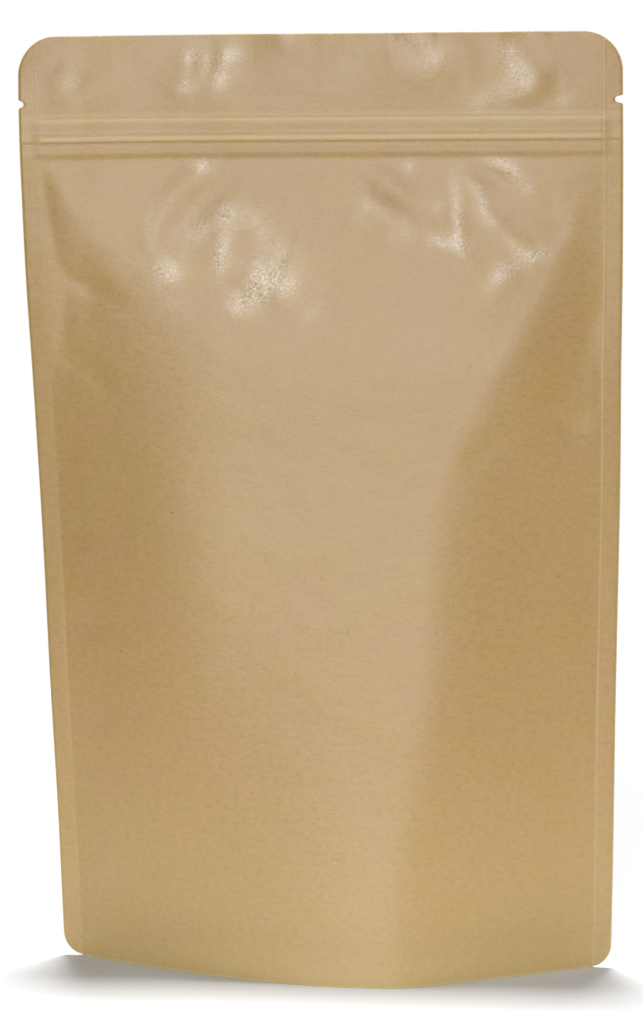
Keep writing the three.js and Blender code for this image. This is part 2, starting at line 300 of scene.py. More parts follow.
# Where the paper was creased most, its smooth surface is crackled and glints, and the
# finish also paints pale glints and sheen over it.
CRACKLES_AND_GLINTS: dict[Side, tuple[Stroke, ...]] = {
    Side.FRONT: soft_strokes(
        (2.2, 1.0, -38, 247, -33, 247),
        (3.0, 0.3, -44, 243, -51, 232, -53, 222),
        (4.0, 0.6, -52, 220, -47, 215, -42, 215),
        (3.6, 0.7, -47, 213, -43, 219),
        (2.5, 0.3, -47, 207, -41, 206),
        (4.2, 0.6, -42, 225, -36, 229, -33, 233),
        (3.2, 0.8, -30, 236, -27, 230),
        (2.6, 0.9, -28, 230, -30, 221, -31, 214),
        (4.0, 0.5, -26, 235, -19, 230, -15, 222),
        (3.4, 0.8, -29, 209, -25, 206, -19, 207),
        (3.6, 1.0, -22, 206, -18, 212, -14, 213),
        (5.5, 0.75, -23, 217, -16, 215, -8, 217),
        (4.5, 0.55, -13, 211, -5, 212),
        (4.0, 0.4, -14, 223, -9, 222),
        (4.0, 0.3, -5, 205, -1, 202),
        (1.8, 0.7, 25, 247, 28, 246.5),
        (3.5, 0.45, 11, 236, 18, 233),
        (4.0, 0.25, 20, 228, 30, 226),
        (2.0, 0.75, 40, 245, 41, 234, 41, 223),
        (2.0, 0.75, 31, 226, 38, 224, 44, 226),
        (2.6, 0.7, 41, 225, 44, 220),
        (2.0, 0.5, 34, 236, 36, 234),
        (2.4, 0.75, 43, 245, 48, 239, 49, 233, 52, 228),
        (1.9, 0.6, 54, 227, 60, 221, 66, 220),
        (2.5, 0.6, 60, 220, 69, 221),
        (2.8, 0.9, 48, 250, 56, 246, 61, 242),
        (2.0, 0.4, 61, 241, 63, 238),
        (2.6, 0.85, 50, 211, 55, 216, 60, 217),
        (2.2, 0.25, 70, 240, 73, 231, 74, 222),
        (3.6, 0.8, -39, 282, -37, 277),
        (3.2, 0.8, -41, 273, -39, 268),
        (4.2, 0.55, -33, 281, -30, 275),
        (3.2, 0.9, -26, 283, -26, 277),
        (2.8, 0.8, -28, 276, -31, 269),
        (2.8, 0.5, -12, 286, -7, 285),
        (6.0, 0.45, 26, 287, 28, 280),
        (4.2, 0.6, 28, 278, 35, 279, 38, 281),
        (4.5, 0.5, 57, 285, 57, 278),
        (3.4, 0.85, 56, 279, 61, 273, 62, 268),
        (4.0, 0.5, 52, 273, 56, 268, 57, 263),
        (3.5, 0.5, 46, 268, 51, 264),
        (2.6, 0.35, 70, 267, 74, 264),
        (7.0, 0.2, -80, 276, -76, 268),
        (6.0, 0.2, -72, 275, -72, 266),
        (5.0, 0.2, 7, 282, 10, 270),
    ),
    Side.BACK: soft_strokes(
        (2.6, 0.8, -50, 246, -43, 236, -40, 224),
        (3.5, 0.8, -14, 240, 2, 232, 11, 221),
        (2.4, 0.8, 37, 246, 44, 236, 55, 231),
        (3.5, 0.6, -30, 283, -26, 270),
    ),
}


@dataclass(frozen=True)
class Shoulder:
    """Edge of a panel's plateau, where its slope to one seal begins.

    `start` is the share of the half width where the slope starts, reached `below` the
    closure. A `lean` over 1 puts the steep part of the slope closer to the seal.
    """

    start: float
    below: float
    lean: float


SHOULDERS: dict[Side, tuple[Shoulder, Shoulder]] = {
    Side.FRONT: (Shoulder(0.3, 62.0, 1.5), Shoulder(0.36, 117.0, 1.05)),
    Side.BACK: (Shoulder(0.36, 80.0, 1.3), Shoulder(0.33, 90.0, 1.3)),
}


@dataclass(frozen=True)
class Twist:
    """Bend of the pouch's left side, which comes forward towards the closure."""

    start: float = 40.0
    over: float = 50.0
    forward: float = 6.1
    low: float = 115.0
    high: float = 250.0
    power: float = 1.7
    header: float = 0.5

    def shift(self, x: Array, z: Array, header: Array) -> Array:
        """Works out how far forward the seal plane is bent.

        Args:
            x: Places across the panel, in millimetres.
            z: Heights on the panel, in millimetres.
            header: 0 below the closure's top and 1 at the mouth.

        Returns:
            The shift at each point.
        """
        beyond = np.clip((-x - self.start) / self.over, 0.0, None) ** 2
        risen = np.clip((z - self.low) / (self.high - self.low), 0.0, 1.0) ** self.power
        return self.forward * beyond * risen * (1.0 - self.header * header)


@dataclass(frozen=True)
class ZipStrip:
    """A strip of the closure that stands out across the panels, in millimetres.

    It lies between the heights `low` and `high`. Its lower edge begins and ends at `foot`
    off the one, and its upper edge at `head` off the other. Just below its top it is painted
    paler, by its share, at its distance below the top and over its reach: a painted highlight
    where the strip's upper edge would catch light from above, partly wear.
    """

    low: float
    high: float
    rise: float
    foot: tuple[float, float]
    head: tuple[float, float]
    # Painted highlight along the strip's top, partly wear: distance below the top, share, reach.
    paler_below: float
    paler_share: float
    paler_reach: float = 1.2

    def relief(self, z: Array) -> Array:
        """Works out how far the strip stands out.

        Args:
            z: Heights on the panel, in millimetres.

        Returns:
            Its height at each point.
        """
        foot = smooth(self.low + self.foot[0], self.low + self.foot[1], z)
        head = smooth(self.high + self.head[0], self.high + self.head[1], z)
        return self.rise * foot * (1 - head)

    def painted_light_and_wear(self, z: Array) -> Array:
        """Returns how far the strip is painted paler at each height: painted highlight, partly
        wear.
        """
        return self.paler_share * np.exp(-(((z - self.high + self.paler_below) / self.paler_reach) ** 2))


@dataclass(frozen=True)
class PouchForm:
    """Form of the filled pouch in millimetres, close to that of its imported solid.

    `height` and `seal_plane`, the Y of the plane that both side seals lie in, are read
    off the frame. All else is a size of the pouch.

    `belly` is a swelling's height on the pouch, how far it stands out and its reach, and
    `right_crown` the heights between which the right side's crown comes in, and that
    crown. `zip_groove` is its height, reach and depth, and `notch_deep` is left and right.
    A ripple or wave is its length, height and phase, `seal_curl` where the curl starts,
    its reach and how far back it goes, and `sway_fade` the heights between which curl and
    wave fade on the right, and by what share.
    """

    height: float
    seal_plane: float
    flat_width: float = 180.0
    side_seal: float = 6.0
    front_depth: float = 25.3
    depth_power: float = 1.124
    belly: tuple[float, float, float] = (188.0, 0.8, 22.0)
    header: float = 37.0
    ridge_offset: float = 0.213
    ridge_top: float = 0.36
    ridge_softness: float = 0.17
    ridge_fade: float = 140.0
    front_foot_powers: tuple[float, float] = (1.5, 1.0)
    back_foot_power: float = 1.75
    shoulder_start: float = 0.92
    crown: float = 0.1
    right_crown: tuple[float, float, float] = (185.0, 235.0, 0.75)
    overrun: float = 0.16
    # Each strip's last two values place and weigh its painted highlight, partly wear.
    zip_band: ZipStrip = ZipStrip(250.3, 261.8, 0.35, (-0.9, 0.9), (-0.8, 0.8), 0.5, 0.28)
    zip_rib: ZipStrip = ZipStrip(254.5, 257.0, 0.45, (-0.3, 0.4), (-1.3, 0.7), 1.1, 0.3)
    zip_groove: tuple[float, float, float] = (254.1, 0.3, 0.15)
    zip_in_seal: float = 0.3
    top_radius: float = 11.6
    foot_radius: float = 7.5
    notch_below: float = 20.0
    notch_mouth: float = 2.6
    notch_tip: float = 1.9
    notch_deep: tuple[float, float] = (1.5, 2.3)
    ripples: tuple[tuple[float, float, float], ...] = ((31, 0.16, 0.9), (19, 0.09, 2.4))
    seal_wave: tuple[float, float, float] = (118.0, 0.9, 0.7)
    seal_wave_reach: float = 14.0
    seal_curl: tuple[float, float, float] = (72.0, 18.0, 1.7)
    sway_fade: tuple[float, float, float] = (165.0, 220.0, 0.9)
    twist: Twist = Twist()
    ply: float = 0.16
    gap: float = 0.015

    @property
    def panel(self) -> float:
        """Width of paper between the side seals."""
        return self.flat_width - 2 * self.side_seal

    @property
    def body_top(self) -> float:
        """Height where the two panels part."""
        return self.height - self.header

    def depth(self, z: Array) -> Array:
        """Works out how far the front panel's ridge stands off the seal plane.

        Args:
            z: Heights of the sections.

        Returns:
            The depth at each height.
        """
        share = np.clip(z / self.body_top, 0.0, 1.0)
        middle, height, reach = self.belly
        belly = height * np.exp(-(((z - middle) / reach) ** 2)) * (share < 1.0)
        belly = belly * smooth(0.0, reach, self.body_top - z)
        return self.front_depth * (1.0 - share**self.depth_power) + belly

    def section(self, side: Side, t: Array, z: Array) -> Array:
        """Forms a panel's sections, from a round foot to a plateau between two slopes.

        Args:
            side: The panel.
            t: Places across it, -1 to 1 between the seals.
            z: Heights of the sections.

        Returns:
            Their swell at each point, 0 at the seals and 1 at the ridge.
        """
        risen = smooth(0.0, self.ridge_fade, z)
        front = side is Side.FRONT
        ridge = self.ridge_offset + (self.ridge_top - self.ridge_offset) * risen
        peak = ridge if front else np.zeros_like(risen)
        right = t > peak
        away = np.where(right, (t - peak) / (1 - peak), (peak - t) / (1 + peak))
        powers = self.front_foot_powers if front else (self.back_foot_power,) * 2
        power = np.where(right, powers[1], powers[0])
        low = 1.0 - (self._rounded(away) / self._rounded(1.0)) ** power
        return low * (1.0 - risen) + self._shouldered(side, t, z) * risen

    def _shouldered(self, side: Side, t: Array, z: Array) -> Array:
        """Forms sections with a crowned plateau between two slopes.

        Args:
            side: The panel.
            t: Places across it, -1 to 1 between the seals.
            z: Heights of the sections.

        Returns:
            Their swell at each point, 0 at the seals.
        """
        left, right = SHOULDERS[side]
        on_right = t > 0
        below = np.where(on_right, right.below, left.below)
        lean = np.where(on_right, right.lean, left.lean)
        start = np.where(on_right, right.start, left.start)
        start = self.shoulder_start + (start - self.shoulder_start) * smooth(
            0.0, 1.0, (self.body_top - z) / below
        )
        end = 1.0 + self.overrun * (1.0 - start)
        along = np.clip((np.abs(t) - start) / (end - start), 0.0, 1.0)
        seal = (1.0 - start) / (end - start)
        slope = smooth(0.0, 1.0, along**lean) / smooth(0.0, 1.0, seal**lean)
        low, high, most = self.right_crown
        flatter = smooth(low, high, z) * on_right if side is Side.FRONT else 0.0
        crown = self.crown + (most - self.crown) * flatter
        return (1.0 - crown * t**2) * (1.0 - slope)

    def _rounded(self, away: Array | float) -> Array:
        """Returns a distance from the ridge with its first stretch rounded off."""
        return np.hypot(np.clip(away, 0.0, 1.0), self.ridge_softness) - self.ridge_softness


class FormedLevels:
    """The pouch's sections at a set of heights, solved so that the paper keeps its width.

    The seals draw in where the front panel swells, and the back panel swells just as far
    as the width that is left to it allows.
    """

    SAMPLES = 321
    HALVINGS = 40

    def __init__(self, form: PouchForm, heights: Array) -> None:
        """Solves every height.

        Args:
            form: The pouch's form.
            heights: Heights of the rows, rising.
        """
        self.form = form
        self.heights = np.asarray(heights, float)
        self.t = np.linspace(-1.0, 1.0, self.SAMPLES)
        column = self.heights[:, None]
        self.sections = {side: form.section(side, self.t[None, :], column) for side in Side}
        depth = form.depth(self.heights)
        self.half = self._solve(
            lambda half: self._arc(half, depth, Side.FRONT), form.panel / 4, form.panel / 2
        )
        back = self._solve(
            lambda deep: self._arc(self.half, deep, Side.BACK), 0.0, 2 * form.front_depth
        )
        self.depth = {Side.FRONT: depth, Side.BACK: np.where(depth > 0, back, 0.0)}

    def _steps(self, half: Array, depth: Array, side: Side) -> Array:
        """Measures the paper along the sections.

        Args:
            half: Half width between the seals at each height.
            depth: The panel's depth at each height.
            side: The panel.

        Returns:
            The length of each step of each section.
        """
        across = np.diff(self.t)[None, :] * half[:, None]
        swell = np.diff(self.sections[side] * depth[:, None], axis=1)
        return np.hypot(across, swell)

    def _arc(self, half: Array, depth: Array, side: Side) -> Array:
        """Returns the length of paper in each section."""
        return self._steps(half, depth, side).sum(axis=1)

    def _solve(self, length: Callable[[Array], Array], low: float, high: float) -> Array:
        """Solves for the value that keeps the paper's width, by halving.

        Args:
            length: Gives the length of paper for a value at each height.
            low: Lowest value.
            high: Highest value.

        Returns:
            The value at each height.
        """
        lows = np.full(self.heights.shape, low)
        highs = np.full(self.heights.shape, high)
        for _ in range(self.HALVINGS):
            middle = (lows + highs) / 2
            short = length(middle) < self.form.panel
            lows = np.where(short, middle, lows)
            highs = np.where(short, highs, middle)
        return (lows + highs) / 2

    def shares(self, side: Side, flat: Array) -> Array:
        """Turns places on the flat paper into shares of each section's half width.

        Args:
            side: The panel.
            flat: Flat places, one row for each height, within the panel's width.

        Returns:
            Values of t, -1 to 1 between the seals.
        """
        lengths = np.cumsum(self._steps(self.half, self.depth[side], side), axis=1)
        lengths = np.hstack([np.zeros((len(lengths), 1)), lengths]) - self.form.panel / 2
        return np.array([np.interp(u, s, self.t) for u, s in zip(flat, lengths)])


@dataclass
class Surface:
    """Formed points of a sheet, with what its finish needs to know of each.

    `flat` is the place on the flat sheet, `crest` how far the paper is painted paler, as
    painted highlight and painted floor light with some wear, `crackle_and_glint` how far its
    surface is crackled and painted with pale glints and sheen, and `edge` how far off the next cut
    it is.
    """

    points: Array
    flat: Array
    crest: Array
    crackle_and_glint: Array
    edge: Array


class PanelForm:
    """Forms one panel: its outline in the flat, its swell, its folds and its seals.

    The closure's relief and its painted highlight run into the side seals by `RELIEF_IN_SEAL`
    and by the distance after it, before they are down to their share there. Each painted
    floor light, which makes the panel paler towards the foot where the floor would light it,
    is the height up to which it fades, and its share. Folds are whole where the panel has
    swelled by `WHOLE_FOLDS`.
    """

    SQUEEZE_FROM = 66.0
    FOLD_FADE = 6.0
    WHOLE_FOLDS = 1.0
    SEAL_INSIDE = 1.0
    # The second distance is how far the closure's painted highlight runs into the seals.
    RELIEF_IN_SEAL, RUB_IN_SEAL = 3.0, 4.0
    SIDE_RUB = 0.3
    # Painted highlight on the folds' crests, partly whitening of the creased paper.
    FOLD_LIGHT_AND_WHITENING = 0.1
    # Share of the closure's painted highlight that is left in the side seals.
    SEAL_PALER = 0.3
    # Painted light from the floor: the panel is painted paler towards the foot.
    PAINTED_FLOOR_LIGHT = ((85.0, 0.14), (14.0, 0.17))

    def __init__(self, form: PouchForm, side: Side, extra: Sequence[Stroke] = ()) -> None:
        """Gathers what the panel is formed by.

        Args:
            form: The pouch's form.
            side: The panel.
            extra: Folds beyond the main ones.
        """
        self.form = form
        self.side = side
        self.folds = [*MAIN_FOLDS[side], *extra]

    def outline(self, across: Array, rows: Array) -> Array:
        """Works out how far the flat outline reaches from the middle, row by row.

        Args:
            across: Places across the panel, of which only the sign counts.
            rows: Heights of the rows.

        Returns:
            The reach at each point.
        """
        left, right = (self._limit(rows, deep)[:, None] for deep in self.form.notch_deep)
        return np.where(across < 0, left, right)

    def _limit(self, z: Array, deep: float) -> Array:
        """Draws the outline of one side, with its rounded corners and its notch.

        Args:
            z: Heights of the rows.
            deep: Depth of the notch.

        Returns:
            How far the side reaches at each height.
        """
        form = self.form
        limit = np.full(z.shape, form.flat_width / 2)
        for radius, centre, way in (
            (form.top_radius, form.height - form.top_radius, 1),
            (form.foot_radius, form.foot_radius, -1),
        ):
            rise = np.clip((z - centre) * way, 0.0, radius)
            limit -= radius - np.sqrt(radius**2 - rise**2)
        off = np.abs(z - (form.height - form.notch_below))
        tip, mouth = form.notch_tip / 2, form.notch_mouth / 2
        straight = deep - tip
        flank = straight * np.clip((mouth - off) / (mouth - tip), 0.0, 1.0)
        round_end = np.sqrt(np.clip(tip**2 - off**2, 0.0, None))
        return limit - np.where(off < tip, straight + round_end, flank)

    def flat_places(self, columns: Array, rows: Array) -> Array:
        """Fits the grid's columns to the outline, row by row.

        Args:
            columns: Flat places of the grid's columns.
            rows: Heights of the grid's rows.

        Returns:
            The flat place of each point.
        """
        limit = self.outline(columns[None, :], rows)
        reach = np.abs(columns)[None, :]
        squeezed = self.SQUEEZE_FROM + (reach - self.SQUEEZE_FROM) * (
            limit - self.SQUEEZE_FROM
        ) / (self.form.flat_width / 2 - self.SQUEEZE_FROM)
        return np.sign(columns)[None, :] * np.where(reach > self.SQUEEZE_FROM, squeezed, reach)

    def mid_plane(self, x: Array, z: Array) -> Array:
        """Shifts the plane that both plies lie on.

        It ripples and is dented above the closure, waves and curls along the seals, and
        is bent on its left side.

        Args:
            x: Places across the panel, in millimetres.
            z: Heights on the panel, in millimetres.

        Returns:
            How far back the plane is shifted at each point.
        """
        form = self.form
        top = form.zip_band.high
        header = smooth(top, form.height, z)
        ripple = sum(h * np.sin(2 * math.pi * x / w + p) for w, h, p in form.ripples)
        dents = over(HEADER_DENTS, x, z) * smooth(top, top + self.FOLD_FADE, z)
        length, height, phase = form.seal_wave
        at = z + np.sign(x) * form.seal_wave_reach
        wave = height * np.sin(2 * math.pi * at / length + phase)
        seal = smooth(form.panel / 2 - form.seal_wave_reach, form.panel / 2, np.abs(x))
        start, reach, back = form.seal_curl
        curl = back * np.clip((np.abs(x) - start) / reach, 0.0, None) ** 2
        low, high, share = form.sway_fade
        fade = np.where(x > 0, 1.0 - share * smooth(low, high, z), 1.0)
        swayed = (wave * seal * (1 - header) + curl) * fade * smooth(0.0, length / 2, z)
        return ripple * header - dents + swayed - form.twist.shift(x, z, header)

    def _within(self, flat: Array, beyond: float) -> Array:
        """Returns 1 between the side seals and 0 from some distance into them."""
        seal = self.form.panel / 2
        return 1 - smooth(seal - self.SEAL_INSIDE, seal + beyond, np.abs(flat))

    def zip_relief(self, flat: Array, z: Array) -> Array:
        """Works out how far the closure's band and rib push the panel out.

        Args:
            flat: Places across the flat panel.
            z: Heights on the panel, in millimetres.

        Returns:
            The relief at each point.
        """
        form = self.form
        middle, reach, deep = form.zip_groove
        groove = deep * np.exp(-(((z - middle) / reach) ** 2))
        relief = form.zip_band.relief(z) + form.zip_rib.relief(z) - groove
        inside = self._within(flat, self.RELIEF_IN_SEAL)
        return relief * (form.zip_in_seal + (1 - form.zip_in_seal) * inside)

    def paler_for_wear_and_light(self, folds: Array, flat: Array, z: Array) -> Array:
        """Works out how far the paper is painted paler: painted highlight on fold crests, partly
        whitening, and on the closure's edges, partly wear, and painted floor light at the foot.

        Args:
            folds: Height of the folds.
            flat: Places across the flat panel.
            z: Heights on the panel, in millimetres.

        Returns:
            The rub at each point.
        """
        inside = self._within(flat, self.RUB_IN_SEAL)
        # Painted highlight along the closure's edges, partly wear, fainter in the side seals.
        closure = self.form.zip_band.painted_light_and_wear(z) + self.form.zip_rib.painted_light_and_wear(z)
        closure *= self.SEAL_PALER + (1 - self.SEAL_PALER) * inside
        # Painted floor light: paler towards the foot.
        foot = sum(share * (1 - smooth(0.0, top, z)) for top, share in self.PAINTED_FLOOR_LIGHT)
        return self.FOLD_LIGHT_AND_WHITENING * np.clip(folds, 0.0, 1.0) + closure + foot

    def fold_relief(self, x: Array, z: Array) -> Array:
        """Returns the height of all the folds, which fade out at the closure."""
        low = self.form.zip_band.low
        return over(self.folds, x, z) * (1 - smooth(low - self.FOLD_FADE, low, z))

    def surface(self, columns: Array, rows: Array) -> Surface:
        """Forms the panel's outer face.

        Args:
            columns: Flat places of the grid's columns.
            rows: Heights of the grid's rows.

        Returns:
            The formed face.
        """
        form = self.form
        levels = FormedLevels(form, rows)
        flat = self.flat_places(columns, rows)
        z = np.broadcast_to(rows[:, None], flat.shape)
        half = levels.half[:, None]
        inside = np.abs(flat) <= form.panel / 2
        t = levels.shares(self.side, np.clip(flat, -form.panel / 2, form.panel / 2))
        beyond = np.sign(flat) * (half + np.abs(flat) - form.panel / 2)
        x = np.where(inside, t * half, beyond)
        section = np.clip(form.section(self.side, t, z), 0.0, 1.0)
        swell = np.where(inside, levels.depth[self.side][:, None] * section, 0.0)
        folds = self.fold_relief(x, z)
        whole = np.clip((swell + self.WHOLE_FOLDS) / (2 * self.WHOLE_FOLDS), 0.0, 1.0)
        folds = np.where(inside, folds * whole, 0.0)
        out = form.gap + form.ply + np.maximum(0.0, swell + folds) + self.zip_relief(flat, z)
        y = form.seal_plane + self.mid_plane(x, z) + self.side.value * out
        edge = np.abs(self.outline(flat, rows) - np.abs(flat)) + self.SIDE_RUB
        edge = np.minimum(edge, np.minimum(z, form.height - z + self.SIDE_RUB))
        points, pattern = np.stack([x, y, z], axis=-1), np.stack([flat, z], axis=-1)
        # Crackled patches, which the finish also paints with pale glints and sheen.
        crackle_and_glint = np.clip(over(CRACKLES_AND_GLINTS[self.side], x, z), 0.0, 1.0)
        return Surface(points, pattern, self.paler_for_wear_and_light(folds, flat, z), crackle_and_glint, edge)


# ------------------------------------------------------------------ shader building


class Signal:
    """A shader socket whose arithmetic adds Math nodes to its graph."""

    def __init__(self, graph: "NodeGraph", socket: bpy.types.NodeSocket) -> None:
        """Wraps a socket of a graph."""
        self.graph = graph
        self.socket = socket

    def _math(self, operation: str, first: Any, second: Any = 0.0) -> "Signal":
        """Adds one Math node.

        Args:
            operation: What it works out.
            first: Its first value or link.
            second: Its second value or link.

        Returns:
            Its outcome.
        """
        node = self.graph.node(
            "ShaderNodeMath", {"operation": operation}, {0: first, 1: second}
        )
        return Signal(self.graph, node.outputs[0])

    def __add__(self, other: Any) -> "Signal":
        """Adds."""
        return self._math("ADD", self, other)

    def __radd__(self, other: Any) -> "Signal":
        """Adds, from the right."""
        return self._math("ADD", other, self)

    def __sub__(self, other: Any) -> "Signal":
        """Subtracts."""
        return self._math("SUBTRACT", self, other)

    def __rsub__(self, other: Any) -> "Signal":
        """Subtracts this from a value."""
        return self._math("SUBTRACT", other, self)

    def __mul__(self, other: Any) -> "Signal":
        """Multiplies."""
        return self._math("MULTIPLY", self, other)

    def __rmul__(self, other: Any) -> "Signal":
        """Multiplies, from the right."""
        return self._math("MULTIPLY", other, self)

    def size(self) -> "Signal":
        """Returns the value without its sign."""
        return self._math("ABSOLUTE", self)

    def band(self, low: float, high: float) -> "Signal":
        """Makes a soft step, which goes down if high is the lower value.

        Args:
            low: Where it is 0.
            high: Where it is 1.

        Returns:
            The step.
        """
        node = self.graph.node(
            "ShaderNodeMapRange",
            {"interpolation_type": "SMOOTHSTEP"},
            {"Value": self, "From Min": low, "From Max": high},
        )
        return Signal(self.graph, node.outputs["Result"])


class NodeGraph:
    """The nodes of a material or of the surroundings, all added by one method."""

    def __init__(self, owner: bpy.types.Material | bpy.types.World) -> None:
        """Empties the owner's graph.

        Args:
            owner: The material or world that is given its nodes.
        """
        self.owner = owner
        owner.use_nodes = True
        self.tree = owner.node_tree
        self.tree.nodes.clear()

    @classmethod
    def material(cls, name: str) -> "NodeGraph":
        """Makes a material and returns its empty graph."""
        return cls(bpy.data.materials.new(name))

    def node(
        self,
        kind: str,
        settings: dict[str, Any] | None = None,
        inputs: dict[Any, Any] | None = None,
    ) -> bpy.types.Node:
        """Adds a node.

        Args:
            kind: The node's type.
            settings: Its properties, which are set first.
            inputs: Values or links of its sockets, by name or number.

        Returns:
            The node.
        """
        node = self.tree.nodes.new(kind)
        for key, value in (settings or {}).items():
            setattr(node, key, value)
        for key, value in (inputs or {}).items():
            if isinstance(value, Signal):
                value = value.socket
            if isinstance(value, bpy.types.NodeSocket):
                self.tree.links.new(value, node.inputs[key])
            else:
                node.inputs[key].default_value = value
        return node

    def attribute(self, name: str) -> Signal:
        """Returns a value that the mesh carries at each point."""
        node = self.node("ShaderNodeAttribute", {"attribute_name": name})
        return Signal(self, node.outputs["Fac"])

    def flat_place(self, axis: str) -> Signal:
        """Reads the place along one axis of the flat sheet.

        Args:
            axis: X or Y.

        Returns:
            The place in metres.
        """
        flat = self.node("ShaderNodeUVMap", {"uv_map": PaperSheet.UV_NAME})
        parts = self.node("ShaderNodeSeparateXYZ", None, {"Vector": flat.outputs["UV"]})
        return Signal(self, parts.outputs[axis])

    def facets(self, cell: tuple[float, float]) -> Signal:
        """Makes small flat facets that each lean their own way.

        Args:
            cell: Width and height of a facet in metres.

        Returns:
            Their height.
        """
        place = self.flat_pattern(cell)
        settings = {"voronoi_dimensions": "2D"}
        cells = self.node("ShaderNodeTexVoronoi", settings, {"Vector": place, "Scale": 1.0})
        own = self.vector("SUBTRACT", place, cells.outputs["Position"])
        lean = self.vector("SUBTRACT", cells.outputs["Color"], (0.5, 0.5, 0.5))
        dot = self.node("ShaderNodeVectorMath", {"operation": "DOT_PRODUCT"}, {0: own, 1: lean})
        return Signal(self, dot.outputs["Value"])

    def vector(self, operation: str, first: Any, second: Any) -> bpy.types.NodeSocket:
        """Returns the outcome of one Vector Math node."""
        node = self.node("ShaderNodeVectorMath", {"operation": operation}, {0: first, 1: second})
        return node.outputs["Vector"]

    def flat_pattern(self, scale: tuple[float, float]) -> bpy.types.NodeSocket:
        """Scales the sheet's flat coordinates.

        Args:
            scale: Width and height of a cell in metres.

        Returns:
            The coordinates, counted in cells.
        """
        flat = self.node("ShaderNodeUVMap", {"uv_map": PaperSheet.UV_NAME})
        cells = (1 / scale[0], 1 / scale[1], 1.0)
        return self.node(
            "ShaderNodeMapping", None, {"Vector": flat.outputs["UV"], "Scale": cells}
        ).outputs["Vector"]

    def noise(self, cell: tuple[float, float], detail: float = 2.0, rough: float = 0.5) -> Signal:
        """Makes noise on the flat pattern.

        Args:
            cell: Width and height of its blotches in metres.
            detail: Octaves of finer noise.
            rough: Strength of each finer octave.

        Returns:
            The noise, 0 to 1.
        """
        inputs = {"Vector": self.flat_pattern(cell), "Scale": 1.0}
        inputs |= {"Detail": detail, "Roughness": rough}
        return Signal(self, self.node("ShaderNodeTexNoise", None, inputs).outputs["Fac"])

    def bump(self, relief: Signal) -> bpy.types.NodeSocket:
        """Returns the normal of a surface with a relief, given in metres."""
        inputs = {"Strength": 1.0, "Distance": 1.0, "Height": relief}
        return self.node("ShaderNodeBump", None, inputs).outputs["Normal"]

    def tint(self, share: Signal, base: Any, other: Any) -> Signal:
        """Mixes from one colour to another by a share of 0 to 1."""
        node = self.node("ShaderNodeMix", {"data_type": "RGBA"}, {0: share, 6: base, 7: other})
        return Signal(self, node.outputs[2])

    def finish(self, inputs: dict[str, Any]) -> bpy.types.Material:
        """Adds the shader and the output.

        Args:
            inputs: Values or links of the shader's sockets.

        Returns:
            The finished material.
        """
        shader = self.node("ShaderNodeBsdfPrincipled", None, inputs)
        self.node("ShaderNodeOutputMaterial", None, {"Surface": shader.outputs[0]})
        return self.owner


def linear(red: int, green: int, blue: int) -> tuple[float, float, float, float]:
    """Turns a colour as seen on screen into linear light.

    Args:
        red: Red, 0 to 255.
        green: Green, 0 to 255.
        blue: Blue, 0 to 255.

    Returns:
        The colour, opaque.
    """

    def channel(value: int) -> float:
        """Returns one channel in linear light."""
        share = value / 255
        return share / 12.92 if share <= 0.04045 else ((share + 0.055) / 1.055) ** 2.4

    return (channel(red), channel(green), channel(blue), 1.0)


# ------------------------------------------------------------------ finishes


@dataclass(frozen=True)
class Texture:
    """Noise over the flat paper, which tints it and raises it.

    `cell` is the width and height of its blotches in metres. The tint is nil where the
    noise is at the first value of `span` and has its full `share` from the second on.
    `relief` is the height that the noise raises the paper by, in metres.
    """

    cell: tuple[float, float]
    detail: float
    rough: float
    span: tuple[float, float]
    share: float = 1.0
    relief: float = 0.0

    def noise(self, graph: NodeGraph) -> Signal:
        """Returns the noise."""
        return graph.noise(self.cell, self.detail, self.rough)

    def tint(self, noise: Signal) -> Signal:
        """Returns how strongly the noise tints each place."""
        return noise.band(*self.span) * self.share


